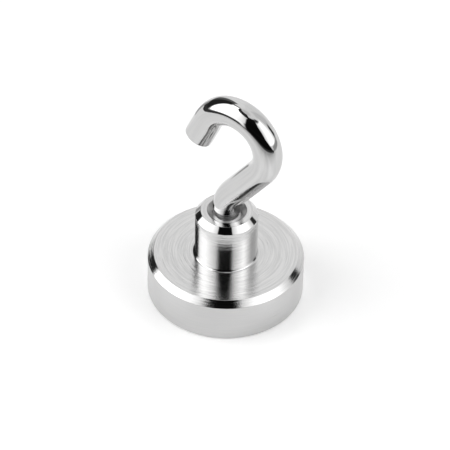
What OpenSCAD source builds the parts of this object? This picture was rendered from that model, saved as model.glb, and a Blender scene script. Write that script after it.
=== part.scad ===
// Hook magnet: a steel pot magnet with a threaded boss and a screw-in open hook.
// Millimetres, +Z up. The origin is the centre of the working face, at the pot's rim.
// The hook lies in the XZ plane, with its mouth towards -X.

/* [Pot] */
// Outer diameter of the steel pot
pot_d = 20; // [18:0.5:24]
// Height of the pot, from its rim to its turned top
pot_h = 6; // [5.5:0.25:8]
// Chamfer round the pot's top edge
pot_chamfer = 0.75; // [0.3:0.05:1]
// Small chamfer round the pot's rim
rim_chamfer = 0.2; // [0.1:0.05:0.4]
// Thickness of the pot's wall
pot_wall = 1.7; // [1.4:0.1:2]
// Depth of the recess that holds the magnet
recess_depth = 3.4; // [3:0.1:3.8]

/* [Magnet] */
// Gap round the magnet disc, filled with potting
magnet_gap = 0.3; // [0.2:0.05:0.6]
// How far the magnet's face sits inside the rim
magnet_recess = 0.15; // [0.1:0.05:0.3]
// Chamfer on the magnet's edges
magnet_chamfer = 0.3; // [0.1:0.05:0.4]
// Thickness of the adhesive film over the magnet
film_t = 0.15; // [0.1:0.05:0.2]

/* [Threaded boss] */
// Outer diameter of the boss
boss_d = 8; // [7.5:0.25:9]
// Height of the boss above the pot
boss_h = 7; // [6:0.25:9]
// Width of the chamfer round the boss's top
boss_chamfer_w = 0.67; // [0.4:0.01:0.8]
// Height of the chamfer round the boss's top
boss_chamfer_h = 0.75; // [0.4:0.05:1]
// Size of the flare at the boss's foot
foot_flare = 0.27; // [0.15:0.01:0.4]
// Diameter of the countersink's mouth
countersink_d = 5.04; // [4.8:0.02:5.4]
// Diameter of the spigot that goes through the pot
spigot_d = 6; // [5.5:0.25:6.5]
// Width of the riveted edge at the spigot's lower end
rivet_w = 0.4; // [0.2:0.05:0.6]

/* [Thread] */
// Pitch of the metric coarse thread
pitch = 0.7; // [0.7:0.05:0.75]
// Crest diameter of the hook's thread
thread_d = 3.9; // [3.8:0.05:3.95]
// Radial play between the two threads
thread_play = 0.06; // [0.05:0.01:0.08]
// Free height in the tapped hole, below the hook's end
end_gap = 0.85; // [0.5:0.05:1.5]

/* [Hook] */
// Diameter of the hook's wire
wire_d = 3.74; // [3.5:0.02:4]
// Height of the wire's shoulder above the boss
shoulder_rise = 0.4; // [0.3:0.05:0.6]
// Radius of the bend that leads away from the shank
lead_r = 5.1; // [4.5:0.1:6]
// Angle of the bend that leads away from the shank
lead_deg = 36; // [34:0.5:38]
// Straight run between the shank and the loop
lead_len = 7; // [6.5:0.1:7.5]
// Radius of the loop, at the middle of the wire
loop_r = 4.6; // [4.4:0.1:5]
// Angle of the loop
loop_deg = 176; // [170:0.5:180]
// Radius of the wider bend between the loop and the tip
tip_r = 6; // [5:0.1:7]
// Angle of the wider bend before the tip
tip_deg = 16; // [10:0.5:20]
// Straight length of the tip, along the middle of the wire
tip_len = 3.9; // [3:0.1:4.5]
// Angle that the cropped end leans off square
tip_crop = 18; // [0:1:20]

/* [Hidden] */
$fn = 96;

boss_top = pot_h + boss_h;
recess_d = pot_d - 2 * pot_wall;
magnet_d = recess_d - 2 * magnet_gap;
magnet_top = recess_depth - film_t;
plate_t = pot_h - recess_depth;
spigot_clear = 0.01;

// The thread is a row of rings: each ridge is a V with a flat crest an eighth of the pitch wide.
thread_depth = 0.57 * pitch;
flank_tan = tan(30);
crest_w = pitch / 8;
crest_r = thread_d / 2;
root_r = crest_r - thread_depth;
groove_crest_r = crest_r + thread_play;
groove_root_r = root_r + thread_play;
groove_crest_w = crest_w + 0.75 * thread_play;

shoulder_z = boss_top + shoulder_rise;
shoulder_h = 0.35;
neck_len = 0.5;
thread_top = shoulder_z - shoulder_h - neck_len;
thread_bottom = recess_depth + end_gap;
lead_in = 0.4;
hook_rings = floor((thread_top - thread_bottom - lead_in) / pitch);
boss_rings = floor((thread_top - recess_depth) / pitch);

// Stretches of the wire are full and slim in turn. A slim one runs on inside its neighbours,
// so that they join through one another and not face to face. The thread's shoulder does the same.
slim_step = 0.02;
seam = 0.2;

steel = [0.78, 0.78, 0.77];
bright_steel = [0.86, 0.86, 0.85];
magnet_grey = [0.62, 0.62, 0.63];
glue = [0.88, 0.86, 0.78];
epoxy = [0.16, 0.16, 0.17];

// ---------- Helpers ----------

// A disc with its top and bottom edges chamfered by width and height
module edged_disc(d, h, top = [0, 0], bottom = [0, 0]) {
    r = d / 2;
    rotate_extrude()
        polygon(concat(
            [[0, 0], [r - bottom[0], 0]],
            bottom[0] > 0 ? [[r, bottom[1]]] : [],
            top[0] > 0 ? [[r, h - top[1]]] : [],
            [[r - top[0], h], [0, h]]
        ));
}

// Half outline of a row of ridges that stand on root, counted down from thread_top
function ridges(count, root, crest, crest_width) =
    let (half = crest_width / 2 + (crest - root) * flank_tan)
    [for (i = [count - 1 : -1 : 0])
        let (z = thread_top - (i + 0.5) * pitch)
        each [
            [root, z - half], [crest, z - crest_width / 2],
            [crest, z + crest_width / 2], [root, z + half]
        ]];

// A hook state is [x, z, heading], where the heading leans from +Z towards +X
function after_bend(s, r, turn) =
    let (side = sign(turn))
    [s[0] + side * r * (cos(s[2]) - cos(s[2] + turn)),
     s[1] - side * r * (sin(s[2]) - sin(s[2] + turn)),
     s[2] + turn];
function stretch_d(slim) = wire_d - (slim ? slim_step : 0);
function after_run(s, len) = [s[0] + len * sin(s[2]), s[1] + len * cos(s[2]), s[2]];

module at_state(s) {
    translate([s[0], 0, s[1]])
        rotate([0, s[2], 0])
            children();
}

// A straight stretch of wire from state s, which a slim stretch carries on into its neighbours
module wire_run(s, len, slim = false) {
    extra = slim ? seam : 0;
    at_state(after_run(s, -extra))
        cylinder(d = stretch_d(slim), h = len + 2 * extra);
}

// A bent stretch of wire from state s, extended in the same way
module wire_bend(s, r, turn, slim = false) {
    extra = slim ? seam / r * 180 / PI : 0;
    at_state(s)
        translate([sign(turn) * r, 0, 0])
            rotate([90, 0, turn > 0 ? 180 : 0])
                rotate([0, 0, -extra])
                    rotate_extrude(angle = abs(turn) + 2 * extra)
                        translate([r, 0])
                            circle(d = stretch_d(slim));
}

// ---------- Pieces ----------

// Turned cup: recess for the magnet below, riveted hole for the boss in its top plate
module pot() {
    color(steel)
        difference() {
            edged_disc(pot_d, pot_h, [pot_chamfer, pot_chamfer], [rim_chamfer, rim_chamfer]);
            translate([0, 0, -1])
                cylinder(d = recess_d, h = recess_depth + 1);
            cylinder(d = spigot_d + 2 * spigot_clear, h = pot_h + 1);
            translate([0, 0, recess_depth])
                cylinder(r1 = spigot_d / 2 + rivet_w + spigot_clear,
                         r2 = spigot_d / 2 + spigot_clear, h = rivet_w);
        }
}

// Threaded bush: its spigot goes through the pot's plate and is riveted over below
module threaded_boss() {
    color(steel)
        difference() {
            union() {
                translate([0, 0, pot_h])
                    edged_disc(boss_d, boss_h, [boss_chamfer_w, boss_chamfer_h]);
                translate([0, 0, pot_h])
                    cylinder(r1 = boss_d / 2 + foot_flare, r2 = boss_d / 2, h = foot_flare);
                translate([0, 0, recess_depth])
                    cylinder(d = spigot_d, h = plate_t);
                translate([0, 0, recess_depth])
                    cylinder(r1 = spigot_d / 2 + rivet_w, r2 = spigot_d / 2, h = rivet_w);
            }
            thread_cutter();
        }
}

// The boss's tapped hole: a bore with ring grooves, and a countersunk mouth
module thread_cutter() {
    mouth_r = countersink_d / 2;
    mouth_h = mouth_r - groove_root_r;
    over = 1;
    rotate_extrude()
        polygon(concat(
            [[0, recess_depth - over], [groove_root_r, recess_depth - over]],
            ridges(boss_rings, groove_root_r, groove_crest_r, groove_crest_w),
            [[groove_root_r, boss_top + over], [0, boss_top + over]]
        ));
    translate([0, 0, boss_top - mouth_h])
        cylinder(r1 = groove_root_r, r2 = mouth_r + over, h = mouth_h + over);
}

// Sintered magnet disc, glued into the recess
module magnet() {
    color(magnet_grey)
        translate([0, 0, magnet_recess])
            edged_disc(magnet_d, magnet_top - magnet_recess,
                       [magnet_chamfer, magnet_chamfer], [magnet_chamfer, magnet_chamfer]);
}

// Glue between the magnet and the pot's plate
module adhesive_film() {
    color(glue)
        translate([0, 0, magnet_top])
            cylinder(d = magnet_d, h = film_t);
}

// Potting that fills the gap round the magnet
module epoxy_ring() {
    color(epoxy)
        translate([0, 0, magnet_recess])
            difference() {
                cylinder(d = recess_d, h = recess_depth - magnet_recess);
                translate([0, 0, -1])
                    cylinder(d = magnet_d, h = recess_depth + 1);
            }
}

// One bent wire with a thread on its lower end
module hook() {
    start = [0, shoulder_z, 0];
    lead_end = after_bend(start, lead_r, lead_deg);
    loop_start = after_run(lead_end, lead_len);
    loop_end = after_bend(loop_start, loop_r, -loop_deg);
    tip_start = after_bend(loop_end, tip_r, -tip_deg);
    color(bright_steel)
        union() {
            hook_thread();
            wire_bend(start, lead_r, lead_deg);
            wire_run(lead_end, lead_len, slim = true);
            wire_bend(loop_start, loop_r, -loop_deg);
            wire_bend(loop_end, tip_r, -tip_deg, slim = true);
            cropped_tip(tip_start);
        }
}

// Threaded end, neck and shoulder below the bent wire
module hook_thread() {
    rotate_extrude()
        polygon(concat(
            [[0, thread_bottom], [root_r - lead_in / 2, thread_bottom], [root_r, thread_bottom + lead_in]],
            ridges(hook_rings, root_r, crest_r, crest_w),
            [[root_r, shoulder_z - shoulder_h], [stretch_d(true) / 2, shoulder_z - slim_step],
             [stretch_d(true) / 2, shoulder_z + seam], [0, shoulder_z + seam]]
        ));
}

// Straight tip, cropped at a slight lean
module cropped_tip(s) {
    difference() {
        wire_run(s, tip_len + wire_d / 2);
        at_state(after_run(s, tip_len))
            rotate([tip_crop, 0, 0])
                translate([-wire_d, -wire_d, 0])
                    cube(2 * wire_d);
    }
}

pot();
threaded_boss();
magnet();
adhesive_film();
epoxy_ring();
hook();
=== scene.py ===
"""Looks for a small hook magnet: turned and nickel-plated pot and boss, a mirror-bright hook, and the
magnet with its potting below. Lengths are in millimetres here and become metres when a mesh is made."""

import math

import bpy
import numpy as np
from mathutils import Matrix, Vector


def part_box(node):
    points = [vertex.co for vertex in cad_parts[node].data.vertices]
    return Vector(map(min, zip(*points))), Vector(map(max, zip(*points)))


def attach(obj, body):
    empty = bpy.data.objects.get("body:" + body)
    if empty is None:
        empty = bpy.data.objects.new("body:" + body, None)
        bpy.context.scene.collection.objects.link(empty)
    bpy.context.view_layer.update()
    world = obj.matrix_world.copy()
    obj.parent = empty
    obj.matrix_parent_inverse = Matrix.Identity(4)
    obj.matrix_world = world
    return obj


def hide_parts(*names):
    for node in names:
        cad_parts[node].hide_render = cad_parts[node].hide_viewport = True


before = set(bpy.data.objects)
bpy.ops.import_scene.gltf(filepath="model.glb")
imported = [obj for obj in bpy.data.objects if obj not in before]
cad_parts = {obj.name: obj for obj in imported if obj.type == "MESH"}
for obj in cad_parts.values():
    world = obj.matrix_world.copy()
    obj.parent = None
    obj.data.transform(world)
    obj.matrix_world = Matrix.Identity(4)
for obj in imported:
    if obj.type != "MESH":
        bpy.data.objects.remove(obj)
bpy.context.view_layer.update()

MM = 0.001
TINY_FILLET = 0.025  # fillets up to this radius are drawn in two steps
STEP_DEG = 10  # larger fillets are drawn in steps of at most this angle

# ---------- Sizes, from the frame where it has them ----------

POT_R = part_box("pot")[1].x / MM
POT_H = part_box("pot")[1].z / MM
POT_CHAMFER = 0.75
RIM_CHAMFER = 0.2
RECESS_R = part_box("epoxy_ring")[1].x / MM
RECESS_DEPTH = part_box("adhesive_film")[1].z / MM

MAGNET_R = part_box("magnet")[1].x / MM
MAGNET_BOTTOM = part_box("magnet")[0].z / MM
MAGNET_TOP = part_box("magnet")[1].z / MM
MAGNET_CHAMFER = 0.3

BOSS_R = 4.0
BOSS_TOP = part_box("threaded_boss")[1].z / MM
BOSS_CHAMFER_W = 0.67
BOSS_CHAMFER_H = 0.75
FOOT_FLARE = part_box("threaded_boss")[1].x / MM - BOSS_R
MOUTH_R = 2.52
SPIGOT_R = 3.0
SPIGOT_CLEAR = 0.01
RIVET_W = 0.4

PITCH = 0.7
THREAD_DEPTH = 0.57 * PITCH
THREAD_PLAY = 0.06
THREAD_FILLET = 0.02
CREST_R = 1.95
CREST_W = PITCH / 8
ROOT_R = CREST_R - THREAD_DEPTH
GROOVE_CREST_R = CREST_R + THREAD_PLAY
GROOVE_CREST_W = CREST_W + 0.75 * THREAD_PLAY
GROOVE_ROOT_R = ROOT_R + THREAD_PLAY
FLANK_TAN = math.tan(math.radians(30))

WIRE_R = 1.87
SHOULDER_Z = BOSS_TOP + 0.4
SHOULDER_H = 0.35
NECK = 0.5
THREAD_TOP = SHOULDER_Z - SHOULDER_H - NECK
THREAD_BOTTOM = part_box("hook")[0].z / MM
THREAD_LEAD_IN = 0.4

# The hook's bends in turn: radius, angle, and the straight stretch that follows if there is one
LEAD_R, LEAD_DEG, LEAD_LEN = 5.1, 36.0, 7.0
LOOP_R, LOOP_DEG = 4.6, 176.0
TIP_R, TIP_DEG, TIP_LEN = 6.0, 16.0, 3.9
TIP_CROP_DEG = 18.0


# ---------- Outlines ----------

def rounded_outline(corners, closed):
    """Points of an outline with its corners rounded.

    corners are (radius, height, fillet, surface): surface is the material index of the stretch that leaves the
    corner. The outline runs with the solid on its left. Returns [(radius, height, normal r, normal z, surface)],
    with a point twice where the outline has a sharp corner."""
    count = len(corners)
    points = []
    for i, (r, z, fillet, surface) in enumerate(corners):
        here = np.array([r, z])
        before = np.array(corners[i - 1][:2])
        after = np.array(corners[(i + 1) % count][:2])
        before_surface = corners[i - 1][3]
        if not closed and i in (0, count - 1):
            way = after - here if i == 0 else here - before
            way = way / np.linalg.norm(way)
            points.append((r, z, way[1], -way[0], surface if i == 0 else before_surface))
            continue
        come = (here - before) / np.linalg.norm(here - before)
        go = (after - here) / np.linalg.norm(after - here)
        turn = math.atan2(come[0] * go[1] - come[1] * go[0], float(come @ go))
        reach = fillet * math.tan(abs(turn) / 2)
        if reach < 1e-5:
            points.append((r, z, come[1], -come[0], before_surface))
            points.append((r, z, go[1], -go[0], surface))
            continue
        steps = max(3, math.ceil(abs(math.degrees(turn)) / STEP_DEG)) if fillet > TINY_FILLET else 2
        side = math.copysign(1.0, turn)
        start = here - come * reach
        centre = start + side * fillet * np.array([-come[1], come[0]])
        for k in range(steps + 1):
            a = turn * k / steps
            out = np.array([come[1], -come[0]])
            normal = np.array([
                out[0] * math.cos(a) - out[1] * math.sin(a),
                out[0] * math.sin(a) + out[1] * math.cos(a),
            ])
            point = centre + side * fillet * normal
            points.append((point[0], point[1], normal[0], normal[1], surface))
    return points


def split_long(points, step, low, high):
    """The same outline, with stretches between heights low and high cut into pieces no longer than step."""
    out = [points[0]]
    for before, after in zip(points, points[1:]):
        length = math.hypot(after[0] - before[0], after[1] - before[1])
        inside = low <= min(before[1], after[1]) and max(before[1], after[1]) <= high
        pieces = max(1, math.ceil(length / step)) if inside else 1
        for k in range(1, pieces):
            t = k / pieces
            middle = [before[j] * (1 - t) + after[j] * t for j in range(4)]
            out.append((*middle, before[4]))
        out.append(after)
    return out


def ridges(count, root, crest, crest_width, surface):
    """Corners of a row of thread rings, counted down from the top of the thread, listed upwards."""
    half = crest_width / 2 + (crest - root) * FLANK_TAN
    corners = []
    for i in reversed(range(count)):
        z = THREAD_TOP - (i + 0.5) * PITCH
        corners += [
            (root, z - half, THREAD_FILLET, surface),
            (crest, z - crest_width / 2, THREAD_FILLET, surface),
            (crest, z + crest_width / 2, THREAD_FILLET, surface),
            (root, z + half, THREAD_FILLET, surface),
        ]
    return corners


# ---------- Meshes ----------

def revolved(name, outline, closed, segments, materials, place=None):
    """A closed mesh made by turning an outline about the Z axis, with exact normals.

    place(verts, normals) may bend the straight solid into another shape."""
    if closed:
        outline = outline + [outline[0]]
    angles = np.linspace(0, 2 * math.pi, segments, endpoint=False)
    cos, sin = np.cos(angles), np.sin(angles)
    rings, ring_start = [], []
    verts, normals = [], []
    for r, z, nr, nz, _ in outline:
        ring_start.append(len(verts))
        if r < 1e-6:
            ring = [(0.0, 0.0, z)]
            ring_normals = [(0.0, 0.0, math.copysign(1.0, nz))]
        else:
            ring = list(zip(r * cos, r * sin, [z] * segments))
            ring_normals = list(zip(nr * cos, nr * sin, [nz] * segments))
        rings.append(len(ring))
        verts += ring
        normals += ring_normals
    verts, normals = np.array(verts), np.array(normals)
    lengths = np.hypot(*np.diff([point[:2] for point in outline], axis=0).T)
    run = np.concatenate([[0.0], np.cumsum(lengths)])
    faces, surfaces, corners = [], [], []
    for i in range(len(outline) - 1):
        a, b = ring_start[i], ring_start[i + 1]
        if lengths[i] < 1e-7:
            continue
        for k in range(segments):
            n = (k + 1) % segments
            low, high = run[i], run[i + 1]
            left, right = k / segments, (k + 1) / segments
            if rings[i] == 1:
                face = (a, b + n, b + k)
                corners += [(left, low), (right, high), (left, high)]
            elif rings[i + 1] == 1:
                face = (a + k, a + n, b)
                corners += [(left, low), (right, low), (left, high)]
            else:
                face = (a + k, a + n, b + n, b + k)
                corners += [(left, low), (right, low), (right, high), (left, high)]
            faces.append(face)
            surfaces.append(outline[i][4])
    if place:
        verts, normals = place(verts, normals)
    return solid(name, verts, normals, faces, surfaces, corners, materials)


def solid(name, verts, normals, faces, surfaces, corners, materials):
    """A smooth-shaded object from millimetre vertices. Vertices at one place are joined, with split normals kept.

    corners holds each face corner's place on the surface: a share of a turn, and millimetres along the outline."""
    keys = np.round(verts, 5)
    _, first, joined = np.unique(keys, axis=0, return_index=True, return_inverse=True)
    joined = joined.ravel()
    mesh = bpy.data.meshes.new(name)
    used = [tuple(int(joined[v]) for v in face) for face in faces]
    mesh.from_pydata((verts[first] * MM).tolist(), [], used)
    for material in materials:
        mesh.materials.append(material)
    mesh.polygons.foreach_set("material_index", surfaces)
    mesh.polygons.foreach_set("use_smooth", [True] * len(used))
    corner_normals = np.array([normals[v] for face in faces for v in face])
    mesh.uv_layers.new(name="UVMap").data.foreach_set("uv", np.array(corners).ravel())
    mesh.update()
    mesh.normals_split_custom_set(corner_normals.tolist())
    piece = bpy.data.objects.new(name, mesh)
    bpy.context.scene.collection.objects.link(piece)
    return piece


# ---------- The hook's line ----------

def hook_line():
    """The middle of the wire: lengths along it, x, z and heading there, and the wire's whole length.

    Each change of curvature is eased over a short stretch."""
    stretches = [
        (SHOULDER_Z - THREAD_BOTTOM, 0.0),
        (math.radians(LEAD_DEG) * LEAD_R, LEAD_DEG),
        (LEAD_LEN, 0.0),
        (math.radians(LOOP_DEG) * LOOP_R, -LOOP_DEG),
        (math.radians(TIP_DEG) * TIP_R, -TIP_DEG),
        (TIP_LEN, 0.0),
    ]
    ends = np.cumsum([0.0] + [length for length, _ in stretches])
    headings = np.cumsum([0.0] + [math.radians(turn) for _, turn in stretches])
    ease, ease_samples = 1.2, 25
    step = 0.02
    s = np.arange(0.0, ends[-1] + step, step)
    offsets = np.linspace(-ease / 2, ease / 2, ease_samples)
    heading = np.mean([np.interp(s + o, ends, headings) for o in offsets], axis=0)
    x = np.concatenate([[0.0], np.cumsum(np.sin((heading[1:] + heading[:-1]) / 2) * step)])
    z = THREAD_BOTTOM + np.concatenate([[0.0], np.cumsum(np.cos((heading[1:] + heading[:-1]) / 2) * step)])
    return s, x, z, heading, ends[-1]


def bent_along_hook(verts, normals):
    """Bends a straight solid that stands on the Z axis along the hook's line, and leans its cropped end."""
    s, x, z, heading, total = hook_line()
    along = verts[:, 2] - THREAD_BOTTOM
    lean = math.tan(math.radians(TIP_CROP_DEG))
    full_lean = 0.4  # the last stretch, which leans with the whole crop
    share = np.clip((along - (total - TIP_LEN / 2)) / (TIP_LEN / 2 - full_lean), 0, 1)
    place = along + share * verts[:, 1] * lean
    angle = np.interp(place, s, heading)
    over = np.maximum(place - s[-1], 0)
    middle_x = np.interp(place, s, x) + over * np.sin(angle)
    middle_z = np.interp(place, s, z) + over * np.cos(angle)
    out = np.stack([
        middle_x + verts[:, 0] * np.cos(angle),
        verts[:, 1],
        middle_z - verts[:, 0] * np.sin(angle),
    ], axis=1)
    tilted = normals.copy()
    end_face = share * np.maximum(normals[:, 2], 0)
    tilted[:, 1] -= end_face * lean
    tilted /= np.linalg.norm(tilted, axis=1, keepdims=True)
    turned = np.stack([
        tilted[:, 0] * np.cos(angle) + tilted[:, 2] * np.sin(angle),
        tilted[:, 1],
        tilted[:, 2] * np.cos(angle) - tilted[:, 0] * np.sin(angle),
    ], axis=1)
    return out, turned


# ---------- Materials ----------

BUMP_UNIT = 0.00001  # a hundredth of a millimetre, in metres


class Tree:
    """A short way to write a node tree."""

    def __init__(self, tree):
        self.tree = tree
        tree.nodes.clear()

    def add(self, kind, inputs=None, **settings):
        node = self.tree.nodes.new(kind)
        for key, value in settings.items():
            setattr(node, key, value)
        for key, value in (inputs or {}).items():
            self.put(node.inputs[key], value)
        return node

    def put(self, socket, value):
        if isinstance(value, bpy.types.NodeSocket):
            self.tree.links.new(value, socket)
        else:
            socket.default_value = value

    def math(self, operation, a, b=0.0):
        return self.add("ShaderNodeMath", {0: a, 1: b}, operation=operation).outputs[0]

    def product(self, first, *more):
        for value in more:
            first = self.math("MULTIPLY", first, value)
        return first

    def weighted(self, *pairs):
        """The sum of values, each given with its weight."""
        total = None
        for value, weight in pairs:
            part = self.product(value, weight)
            total = part if total is None else self.math("ADD", total, part)
        return total

    def dot(self, a, b):
        return self.add("ShaderNodeVectorMath", {0: a, 1: tuple(b)}, operation="DOT_PRODUCT").outputs["Value"]

    def ramp(self, value, low, high, to_low=0.0, to_high=1.0, smooth=True):
        """to_low where value is at or under low, to_high where it is at or over high."""
        inputs = {0: value, 1: low, 2: high, 3: to_low, 4: to_high}
        kind = "SMOOTHSTEP" if smooth else "LINEAR"
        return self.add("ShaderNodeMapRange", inputs, interpolation_type=kind).outputs[0]

    def noise(self, vector, scale, detail, **more):
        inputs = {"Vector": vector, "Scale": scale, "Detail": detail, **more}
        return self.add("ShaderNodeTexNoise", inputs).outputs["Fac"]

    def mix(self, share, low, high):
        """A colour between low and high."""
        return self.add("ShaderNodeMix", {0: share, 6: low, 7: high}, data_type="RGBA").outputs[2]

    def spots(self, vector, scale, low, high, feature="F1"):
        """1 in small round spots, 0 outside them."""
        cells = self.add("ShaderNodeTexVoronoi", {"Vector": vector, "Scale": scale}, feature=feature)
        return self.ramp(cells.outputs["Distance"], low, high, 1.0, 0.0)

    def bump(self, height):
        """A normal from a height in hundredths of a millimetre."""
        inputs = {"Strength": 1.0, "Distance": BUMP_UNIT, "Height": height}
        return self.add("ShaderNodeBump", inputs).outputs[0]

    def finish(self, shader):
        self.add("ShaderNodeOutputMaterial", {"Surface": shader.outputs[0]})


def new_material(name):
    material = bpy.data.materials.new(name)
    material.use_nodes = True
    return material, Tree(material.node_tree)


FAINT_WARMTH = 0.004


def grey(value, warmth=0.0):
    return (value * (1 + warmth), value, value * (1 - warmth), 1.0)


def turned_nickel(name, tone, roughness, anisotropy, grooves, grain, contrast):
    """Nickel plate over a turned surface: rings of cutter marks about the Z axis, and a sheen across them.

    grooves holds the depths of broad, middle and fine rings, and grain the depth of the plating's grain,
    all in hundredths of a millimetre. contrast is how far the rings' tones lie from tone."""
    material, t = new_material(name)
    place = t.add("ShaderNodeTexCoord").outputs["Object"]
    x, y, z = t.add("ShaderNodeSeparateXYZ", {0: place}).outputs
    radius = t.math("SQRT", t.weighted((x, x), (y, y)))
    across = t.math("SUBTRACT", radius, z)

    def rings(per_metre, round_per_metre):
        """Noise that changes quickly across the rings and slowly along them."""
        vector = t.add("ShaderNodeCombineXYZ", {
            0: t.product(across, per_metre),
            1: t.product(x, round_per_metre),
            2: t.product(y, round_per_metre),
        })
        return t.noise(vector.outputs[0], 1.0, 2.0, Roughness=0.6)

    broad = rings(2600.0, 20.0)
    cutter = rings(6000.0, 220.0)
    fine = rings(14000.0, 500.0)
    patches = t.noise(place, 350.0, 3.0)
    speck = t.spots(place, 900.0, 0.03, 0.07)
    plated = t.noise(place, 12000.0, 1.0)
    height = t.weighted((broad, grooves[0]), (cutter, grooves[1]), (fine, grooves[2]), (plated, grain))
    ring_shade = t.ramp(t.weighted((broad, 0.15), (cutter, 0.85)), 0.36, 0.64)
    shade = t.weighted((ring_shade, 0.7), (patches, 0.3))
    dark, light, speck_tone = tone * (1 - contrast), tone * (1 + contrast), tone * 0.6
    tint = t.mix(shade, grey(dark), grey(light, FAINT_WARMTH))
    marked = t.mix(t.product(speck, 0.25), tint, grey(speck_tone))
    unevenness = t.product(t.math("SUBTRACT", cutter, 0.5), roughness * 0.35)
    tangent = t.add("ShaderNodeTangent", direction_type="RADIAL", axis="Z")
    shader = t.add("ShaderNodeBsdfPrincipled", {
        "Base Color": marked,
        "Metallic": 1.0,
        "Roughness": t.math("ADD", roughness, unevenness),
        "Anisotropic": anisotropy,
        "Anisotropic Rotation": 0.25,
        "Tangent": tangent.outputs[0],
        "Normal": t.bump(height),
    })
    t.finish(shader)
    return material


def bright_nickel(name, tone, roughness, ripple, drawn=0.0):
    """Mirror-bright nickel plate: nearly smooth, with a faint ripple, fine wipe marks and a few pin-sized pits.

    drawn adds lines along the outline, as on drawn wire."""
    material, t = new_material(name)
    place = t.add("ShaderNodeTexCoord").outputs["Object"]
    waves = t.noise(place, 700.0, 2.0)
    grain = t.noise(place, 9000.0, 3.0)
    pit = t.spots(place, 1100.0, 0.02, 0.06)
    height = t.weighted((waves, ripple), (grain, 0.02 * ripple))
    height = t.math("SUBTRACT", height, t.product(pit, 0.05))
    shade = waves
    if drawn:
        uv = t.add("ShaderNodeSeparateXYZ", {0: t.add("ShaderNodeUVMap", uv_map="UVMap").outputs[0]}).outputs
        angle = t.product(uv[0], 2 * math.pi)
        lines_round, change_along = 5.0, 0.12
        vector = t.add("ShaderNodeCombineXYZ", {
            0: t.product(t.math("COSINE", angle), lines_round),
            1: t.product(t.math("SINE", angle), lines_round),
            2: t.product(uv[1], change_along),
        })
        lines = t.noise(vector.outputs[0], 1.0, 4.0, Roughness=0.6)
        height = t.math("ADD", height, t.product(lines, drawn))
        shade = t.ramp(lines, 0.3, 0.7)
    tint = t.mix(shade, grey(tone * 0.95), grey(tone * 1.03, FAINT_WARMTH))
    wiped = t.noise(place, 2500.0, 4.0, Distortion=1.5)
    rough = t.ramp(wiped, 0.3, 0.75, roughness * 0.7, roughness * 1.5)
    shader = t.add("ShaderNodeBsdfPrincipled", {
        "Base Color": tint,
        "Metallic": 1.0,
        "Roughness": rough,
        "Normal": t.bump(height),
    })
    t.finish(shader)
    return material


def magnet_plate():
    """Nickel plate over sintered magnet: the pressed grain shows through as a fine pebbled surface."""
    material, t = new_material("magnet_nickel")
    place = t.add("ShaderNodeTexCoord").outputs["Object"]
    pebble = t.noise(place, 2600.0, 4.0, Roughness=0.6)
    cloud = t.noise(place, 260.0, 3.0)
    shader = t.add("ShaderNodeBsdfPrincipled", {
        "Base Color": t.mix(cloud, grey(0.50, 0.010), grey(0.60, 0.016)),
        "Metallic": 1.0,
        "Roughness": t.ramp(cloud, 0.3, 0.7, 0.20, 0.32),
        "Normal": t.bump(t.product(pebble, 2.2)),
    })
    t.finish(shader)
    return material


def resin(name, dark, light, roughness, bubble_depth):
    """Cured resin: cloudy colour, a soft gloss and a few closed bubbles."""
    material, t = new_material(name)
    place = t.add("ShaderNodeTexCoord").outputs["Object"]
    cloud = t.noise(place, 500.0, 3.0)
    dent = t.spots(place, 1400.0, 0.05, 0.2, "SMOOTH_F1")
    shader = t.add("ShaderNodeBsdfPrincipled", {
        "Base Color": t.mix(cloud, dark, light),
        "Roughness": t.ramp(cloud, 0.3, 0.7, roughness * 0.8, roughness * 1.2),
        "Coat Weight": 0.3,
        "Coat Roughness": 0.15,
        "Normal": t.bump(t.math("SUBTRACT", cloud, t.product(dent, bubble_depth))),
    })
    t.finish(shader)
    return material


NICKEL = 0.66
turned_face = turned_nickel(
    "turned_face", NICKEL, roughness=0.10, anisotropy=0.8, grooves=(1.0, 1.2, 0.5), grain=0.6, contrast=0.10)
satin_side = turned_nickel(
    "satin_side", NICKEL * 1.02, roughness=0.3, anisotropy=0.4, grooves=(0.03, 0.03, 0.1), grain=0.4, contrast=0.022)
boss_side = turned_nickel(
    "boss_side", NICKEL, roughness=0.09, anisotropy=0.8, grooves=(1.6, 1.0, 0.4), grain=0.6, contrast=0.06)
cut_chamfer = turned_nickel(
    "cut_chamfer", NICKEL, roughness=0.06, anisotropy=0.5, grooves=(2.5, 1.0, 0.2), grain=0.50, contrast=0.03)
countersink = turned_nickel(
    "countersink", 0.47, roughness=0.30, anisotropy=0.6, grooves=(1.6, 1.4, 0.4), grain=0.80, contrast=0.10)
polished = bright_nickel("polished_nickel", NICKEL, roughness=0.05, ripple=0.3)
mirror_nickel = bright_nickel("mirror_nickel", NICKEL, roughness=0.03, ripple=0.3, drawn=0.12)
tapped = bright_nickel("tapped_nickel", 0.42, roughness=0.38, ripple=0.6)
rolled = bright_nickel("rolled_thread", 0.62, roughness=0.38, ripple=0.6)
magnet_coat = magnet_plate()
potting = resin(
    "potting_resin", dark=(0.012, 0.012, 0.014, 1), light=(0.035, 0.034, 0.036, 1), roughness=0.3, bubble_depth=2.0)
glue = resin("clear_glue", dark=(0.62, 0.55, 0.38, 1), light=(0.78, 0.72, 0.56, 1), roughness=0.35, bubble_depth=1.5)


# ---------- Pieces ----------

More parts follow.
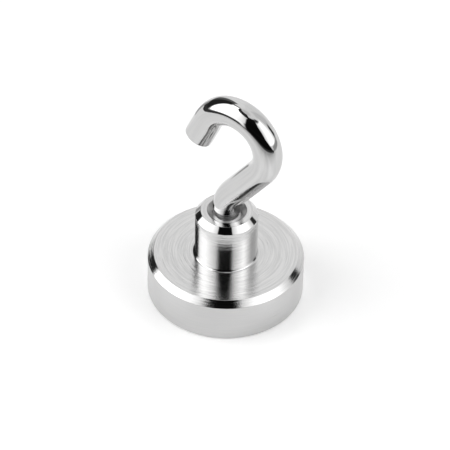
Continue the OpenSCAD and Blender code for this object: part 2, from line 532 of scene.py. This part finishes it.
def make_pot():
    """Turned cup. Surfaces: 0 turned top, 1 satin side, 2 cut chamfers, 3 polished rim."""
    ring_r, ring_w, ring_depth = 5.5, 0.14, 0.006  # the cutter's one deeper mark
    edge, rim_edge = 0.06, 0.08
    hole_r = SPIGOT_R + SPIGOT_CLEAR
    corners = [
        (RECESS_R, 0.0, rim_edge, 3),
        (POT_R - RIM_CHAMFER, 0.0, rim_edge, 2),
        (POT_R, RIM_CHAMFER, rim_edge, 1),
        (POT_R, POT_H - POT_CHAMFER, edge, 2),
        (POT_R - POT_CHAMFER, POT_H, edge, 0),
        (ring_r + ring_w, POT_H, 0.0, 0),
        (ring_r, POT_H - ring_depth, 0.0, 0),
        (ring_r - ring_w, POT_H, 0.0, 0),
        (hole_r, POT_H, 0.0, 1),
        (hole_r, RECESS_DEPTH + RIVET_W, 0.0, 1),
        (hole_r + RIVET_W, RECESS_DEPTH, 0.0, 1),
        (RECESS_R, RECESS_DEPTH, 0.0, 1),
    ]
    outline = rounded_outline(corners, closed=True)
    materials = [turned_face, satin_side, cut_chamfer, polished]
    piece = revolved("pot_shell", outline, closed=True, segments=320, materials=materials)
    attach(piece, "magnet_pot")
    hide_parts("pot")


def make_boss():
    """Threaded bush. Surfaces: 0 turned side, 1 turned top, 2 polished chamfer and foot, 3 thread, 4 countersink."""
    mouth_h = MOUTH_R - GROOVE_ROOT_R
    lip, above_flare = 0.012, 0.02
    edge, mouth_edge = 0.05, 0.06
    foot_r = BOSS_R + FOOT_FLARE
    count = math.floor((THREAD_TOP - RECESS_DEPTH) / PITCH)
    rings = ridges(count, GROOVE_ROOT_R, GROOVE_CREST_R, GROOVE_CREST_W, 3)
    # The top groove runs out in the countersink: its upper flank meets the cone part of the way down.
    crest_z = rings[-2][1]
    cone_foot = BOSS_TOP - mouth_h
    meet_z = (GROOVE_CREST_R - GROOVE_ROOT_R + crest_z / FLANK_TAN + cone_foot) / (1 + 1 / FLANK_TAN)
    rings[-1] = (GROOVE_ROOT_R + meet_z - cone_foot, meet_z, THREAD_FILLET, 3)
    corners = [
        (GROOVE_ROOT_R, RECESS_DEPTH, 0.0, 0),
        (SPIGOT_R + RIVET_W, RECESS_DEPTH, 0.0, 0),
        (SPIGOT_R, RECESS_DEPTH + RIVET_W, 0.0, 0),
        (SPIGOT_R, POT_H, 0.0, 0),
        (foot_r, POT_H, 0.0, 2),
        (foot_r, POT_H + lip, 0.0, 2),
        (BOSS_R, POT_H + lip, FOOT_FLARE - lip, 2),
        (BOSS_R, POT_H + FOOT_FLARE + above_flare, 0.0, 0),
        (BOSS_R, BOSS_TOP - BOSS_CHAMFER_H, edge, 2),
        (BOSS_R - BOSS_CHAMFER_W, BOSS_TOP, edge, 1),
        (MOUTH_R, BOSS_TOP, mouth_edge, 4),
    ] + rings[::-1]
    outline = rounded_outline(corners, closed=True)
    materials = [boss_side, turned_face, polished, tapped, countersink]
    piece = revolved("boss_bush", outline, closed=True, segments=256, materials=materials)
    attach(piece, "magnet_pot")
    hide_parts("threaded_boss")


def make_magnet():
    """Magnet disc with tumbled edges."""
    edge = 0.12
    corners = [
        (0.0, MAGNET_BOTTOM, 0.0, 0),
        (MAGNET_R - MAGNET_CHAMFER, MAGNET_BOTTOM, edge, 0),
        (MAGNET_R, MAGNET_BOTTOM + MAGNET_CHAMFER, edge, 0),
        (MAGNET_R, MAGNET_TOP - MAGNET_CHAMFER, edge, 0),
        (MAGNET_R - MAGNET_CHAMFER, MAGNET_TOP, edge, 0),
        (0.0, MAGNET_TOP, 0.0, 0),
    ]
    outline = rounded_outline(corners, closed=False)
    piece = revolved("magnet_disc", outline, closed=False, segments=256, materials=[magnet_coat])
    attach(piece, "magnet_pot")
    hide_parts("magnet")


def make_epoxy():
    """Potting round the magnet, drawn up its two walls and lower in the middle."""
    middle = (MAGNET_R + RECESS_R) / 2
    sag, half_flat, edge = 0.05, 0.08, 0.1
    corners = [
        (MAGNET_R, MAGNET_BOTTOM, 0.0, 0),
        (middle - half_flat, MAGNET_BOTTOM + sag, edge, 0),
        (middle + half_flat, MAGNET_BOTTOM + sag, edge, 0),
        (RECESS_R, MAGNET_BOTTOM, 0.0, 0),
        (RECESS_R, RECESS_DEPTH, 0.0, 0),
        (MAGNET_R, RECESS_DEPTH, 0.0, 0),
    ]
    outline = rounded_outline(corners, closed=True)
    piece = revolved("epoxy_potting", outline, closed=True, segments=256, materials=[potting])
    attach(piece, "magnet_pot")
    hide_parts("epoxy_ring")


def make_hook():
    """One bent wire: thread, neck and rounded shoulder, bends, and a cropped tip with a broken edge.

    Surfaces: 0 mirror-bright wire, 1 rolled thread. It is made straight and then bent."""
    end_edge, neck_edge, shoulder_edge, tip_edge = 0.05, 0.1, 0.5, 0.2
    ring_gap = 0.14  # the wire's rings of vertices are no further apart
    end = THREAD_BOTTOM + hook_line()[4]
    count = math.floor((THREAD_TOP - THREAD_BOTTOM - THREAD_LEAD_IN) / PITCH)
    corners = [
        (0.0, THREAD_BOTTOM, 0.0, 1),
        (ROOT_R - THREAD_LEAD_IN / 2, THREAD_BOTTOM, end_edge, 1),
        (ROOT_R, THREAD_BOTTOM + THREAD_LEAD_IN, THREAD_FILLET, 1),
    ] + ridges(count, ROOT_R, CREST_R, CREST_W, 1) + [
        (ROOT_R, SHOULDER_Z - SHOULDER_H, neck_edge, 0),
        (WIRE_R, SHOULDER_Z, shoulder_edge, 0),
        (WIRE_R, end, tip_edge, 0),
        (0.0, end, 0.0, 0),
    ]
    outline = split_long(rounded_outline(corners, closed=False), ring_gap, SHOULDER_Z, end)
    materials = [mirror_nickel, rolled]
    piece = revolved("hook_wire", outline, closed=False, segments=144, materials=materials, place=bent_along_hook)
    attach(piece, "hook")
    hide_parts("hook")


make_pot()
make_boss()
make_magnet()
make_epoxy()
make_hook()
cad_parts["adhesive_film"].data.materials.clear()
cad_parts["adhesive_film"].data.materials.append(glue)


# ---------- Studio ----------

CAMERA_AZIMUTH = 35.52
CAMERA_ELEVATION = 41.855
CAMERA_ROLL = 1.272
CAMERA_DISTANCE = 400.0
CAMERA_LENS = 252.8
AIM_HEIGHT = 10.41
AIM_LEFT = 0.2
SHEET_TONE = 0.94


def make_camera():
    """The camera at the photograph's angle, aimed a little left of the boss's axis."""
    a, e = math.radians(CAMERA_AZIMUTH), math.radians(CAMERA_ELEVATION)
    back = Vector((math.sin(a) * math.cos(e), -math.cos(a) * math.cos(e), math.sin(e)))
    right = Vector((math.cos(a), math.sin(a), 0.0))
    target = Vector((0.0, 0.0, AIM_HEIGHT)) - AIM_LEFT * right
    data = bpy.data.cameras.new("camera")
    data.lens = CAMERA_LENS
    data.clip_start = 0.01
    data.clip_end = 20.0
    camera = bpy.data.objects.new("camera", data)
    turn = (-back).to_track_quat("-Z", "Y").to_matrix() @ Matrix.Rotation(math.radians(CAMERA_ROLL), 3, "Z")
    camera.matrix_world = Matrix.Translation((target + CAMERA_DISTANCE * back) * MM) @ turn.to_4x4()
    bpy.context.scene.collection.objects.link(camera)
    bpy.context.scene.camera = camera


def make_floor():
    """A white sheet under the object. Its material's distances are in metres.

    In the metal's reflections it has painted shade towards its front edge, its far part is missing, a darker patch
    is on it behind the object on the left, and a painted light glows on it beside the object. To the camera it is
    plain."""
    a = math.radians(CAMERA_AZIMUTH)
    front = np.array([math.sin(a), -math.cos(a), 0.0])
    right = np.array([math.cos(a), math.sin(a), 0.0])
    material, t = new_material("white_sheet")
    place = t.add("ShaderNodeTexCoord").outputs["Object"]
    fibre = t.noise(place, 400.0, 3.0)
    forward = t.dot(place, front)
    sideways = t.dot(place, right)
    path = t.add("ShaderNodeLightPath").outputs

    # Painted shade: except to the camera, the sheet's colour darkens from 30 to 110 mm in front of the object,
    # towards its front edge.
    front_edge_painted_shade = 0.35
    bright = t.ramp(forward, 0.030, 0.110, SHEET_TONE, front_edge_painted_shade, smooth=False)
    bright = t.math("MAXIMUM", bright, t.product(path["Is Camera Ray"], SHEET_TONE))
    tint = t.product(bright, t.ramp(fibre, 0.3, 0.7, 0.99, 1.01))

    # A darker patch in the sheet's colour behind the object on the left, seen only by glossy rays.
    dark_patch_depth = 0.6
    backward = t.product(forward, -1.0)
    slant = t.math("DIVIDE", sideways, t.math("MAXIMUM", backward, 0.001))
    dark_patch = t.product(
        t.ramp(slant, -0.95, -0.85),
        t.ramp(slant, -0.55, -0.48, 1.0, 0.0),
        t.ramp(forward, -0.048, -0.044, 1.0, 0.0),
        path["Is Glossy Ray"],
    )
    tint = t.product(tint, t.math("SUBTRACT", 1.0, t.product(dark_patch, dark_patch_depth)))
    colour = t.add("ShaderNodeCombineColor", {0: tint, 1: tint, 2: tint})
    paper = t.add("ShaderNodeBsdfDiffuse", {"Color": colour.outputs[0]})

    # The glow beside the object is painted light: glossy rays see the sheet glow a little more from 6 to 24 mm to
    # either side of it. The other two glows light the whole sheet evenly.
    painted_light_beside, glow_all, glow_to_camera = 0.09, 0.06, 0.22
    apart = t.math("ABSOLUTE", sideways)
    beside = t.product(
        t.ramp(apart, 0.006, 0.012), t.ramp(apart, 0.016, 0.024, 1.0, 0.0), painted_light_beside, path["Is Glossy Ray"])
    strength = t.math("ADD", t.ramp(path["Is Camera Ray"], 0.0, 1.0, glow_all, glow_to_camera), beside)
    glow = t.add("ShaderNodeEmission", {"Strength": strength})
    lit = t.add("ShaderNodeAddShader", {0: paper.outputs[0], 1: glow.outputs[0]})

    # From below the sheet is clear, and it has a hole under the pot, so that the underside can be seen.
    clear = t.add("ShaderNodeBsdfTransparent")
    below = t.add("ShaderNodeNewGeometry").outputs["Backfacing"]
    both = t.add("ShaderNodeMixShader", {0: below, 1: lit.outputs[0], 2: clear.outputs[0]})
    t.finish(both)

    # Lengths in millimetres from here on. Reflections see the near part only.
    under_rim = 0.05
    hole_r = POT_R - RIM_CHAMFER - under_rim
    near_r, near_centre = 180.0, -60.0 * front
    far_r = 3000.0
    count = 128
    angles = np.linspace(0, 2 * math.pi, count, endpoint=False)
    ring = np.stack([np.cos(angles), np.sin(angles), 0 * angles], axis=1)
    hole, edge, horizon = ring * hole_r, ring * near_r + near_centre, ring * far_r
    for name, inner, outer in (("sheet_near", hole, edge), ("sheet_far", edge, horizon)):
        mesh = bpy.data.meshes.new(name)
        faces = [(k, count + k, count + (k + 1) % count, (k + 1) % count) for k in range(count)]
        mesh.from_pydata((np.concatenate([inner, outer]) * MM).tolist(), [], faces)
        mesh.materials.append(material)
        sheet = bpy.data.objects.new(name, mesh)
        bpy.context.scene.collection.objects.link(sheet)
    sheet.visible_glossy = False


def make_studio_light():
    """A white tent with two bright windows. The camera's side is dark between and under the windows.

    The camera itself sees plain white behind the object."""
    world = bpy.data.worlds.new("studio")
    world.use_nodes = True
    bpy.context.scene.world = world
    t = Tree(world.node_tree)
    way = t.add("ShaderNodeTexCoord").outputs["Generated"]
    turned = t.add("ShaderNodeVectorRotate", {"Vector": way, "Angle": -math.radians(CAMERA_AZIMUTH)},
                   rotation_type="Z_AXIS")
    x, y, z = t.add("ShaderNodeSeparateXYZ", {0: turned.outputs[0]}).outputs
    degrees = 180 / math.pi
    azimuth = t.product(t.math("ARCTAN2", x, t.product(y, -1.0)), degrees)
    elevation = t.product(t.math("ARCSINE", z), degrees)

    def patch(low, high, left, right, soft=2.5):
        """1 inside a patch of the sky. low and high are elevations, left and right are each a pair of azimuths,
        at the low and at the high edge, all in degrees."""
        along = t.ramp(elevation, low, high, smooth=False)

        def edge(pair):
            return t.math("ADD", pair[0], t.product(along, pair[1] - pair[0]))

        return t.product(
            t.ramp(t.math("SUBTRACT", azimuth, edge(left)), -soft, soft),
            t.ramp(t.math("SUBTRACT", azimuth, edge(right)), -soft, soft, 1.0, 0.0),
            t.ramp(elevation, low - soft, low + soft),
            t.ramp(elevation, high - soft, high + soft, 1.0, 0.0),
        )

    left_window = t.product(
        t.ramp(azimuth, -80, -28, 2.4, 0.8, smooth=False),
        t.ramp(azimuth, -122, -92, 0.75, 1.0, smooth=False),
    )
    right_window = t.product(
        t.ramp(azimuth, 22, 66, 0.8, 2.2, smooth=False),
        t.ramp(azimuth, 70, 96, 1.0, 0.45, smooth=False),
    )
    front_glow = t.ramp(elevation, -13, -7, 0.5, 0.004)
    tent = 0.88
    radiance = tent
    # Azimuth 0 is the camera's side, and right is positive. A later patch covers an earlier one.
    for value, mask in (
        # Walls behind and beside, and the tent's top
        (0.97, patch(10, 70, (165, 165), (200, 200), 5.0)),
        (0.97, patch(10, 70, (-200, -200), (-150, -150), 5.0)),
        (0.70, patch(10, 62, (100, 100), (138, 138), 5.0)),
        (0.70, patch(79, 100, (-200, -200), (200, 200), 3.0)),
        # Left window, and the dark round its top
        (left_window, patch(3, 20, (-100, -121), (-34, -34), 2.0)),
        (left_window, patch(18, 73, (-122, -130), (-22, -22), 2.0)),
        (0.03, patch(58, 79, (-32, -140), (-14, -14), 1.5)),
        (0.08, patch(57, 77, (-148, -142), (-137, -125), 2.0)),
        # Right window
        (right_window, patch(5, 57, (18, 18), (101, 100), 2.0)),
        (0.08, patch(59, 69, (-20, -20), (75, 60), 3.0)),
        # Dark gap between the windows
        (0.004, patch(15, 52, (-39, -28), (27, 20), 2.0)),
        (0.004, patch(-7, 18, (-45, -40), (55, 27), 3.0)),
        (0.006, patch(48, 67, (-28, -18), (22, 32), 2.0)),
        (0.01, patch(60, 75, (-28, -28), (-10, -10), 2.0)),
        # Right of the right window, and under it
        (0.03, patch(1, 24, (102, 103), (117, 118), 2.0)),
        (0.35, patch(-8, 3, (58, 58), (108, 112), 2.0)),
        # Dark screen on the left, behind the left window
        (0.12, patch(-2, 56, (-166, -170), (-122, -126), 3.0)),
        (0.02, patch(-3, 56, (-150, -156), (-105, -126), 4.0)),
        (0.35, patch(-25, 0, (-153, -153), (-138, -138), 2.0)),
        # Below the sheet's left and front edges
        (0.045, patch(-60, 1, (-140, -140), (-50, -50))),
        (front_glow, patch(-60, -5, (-60, -50), (60, 58))),
    ):
        step = t.add("ShaderNodeMix", {0: mask, 2: radiance, 3: value}, data_type="FLOAT")
        radiance = step.outputs[0]
    seen = t.add("ShaderNodeLightPath").outputs["Is Camera Ray"]
    shown = t.add("ShaderNodeMix", {0: seen, 2: radiance, 3: 1.0}, data_type="FLOAT")
    light = t.add("ShaderNodeBackground", {"Color": (1, 1, 1, 1), "Strength": shown.outputs[0]})
    t.add("ShaderNodeOutputWorld", {"Surface": light.outputs[0]})
    world.cycles.sampling_method = "MANUAL"
    world.cycles.sample_map_resolution = 1024


make_camera()
make_floor()
make_studio_light()
bpy.context.scene.view_settings.view_transform = "Standard"
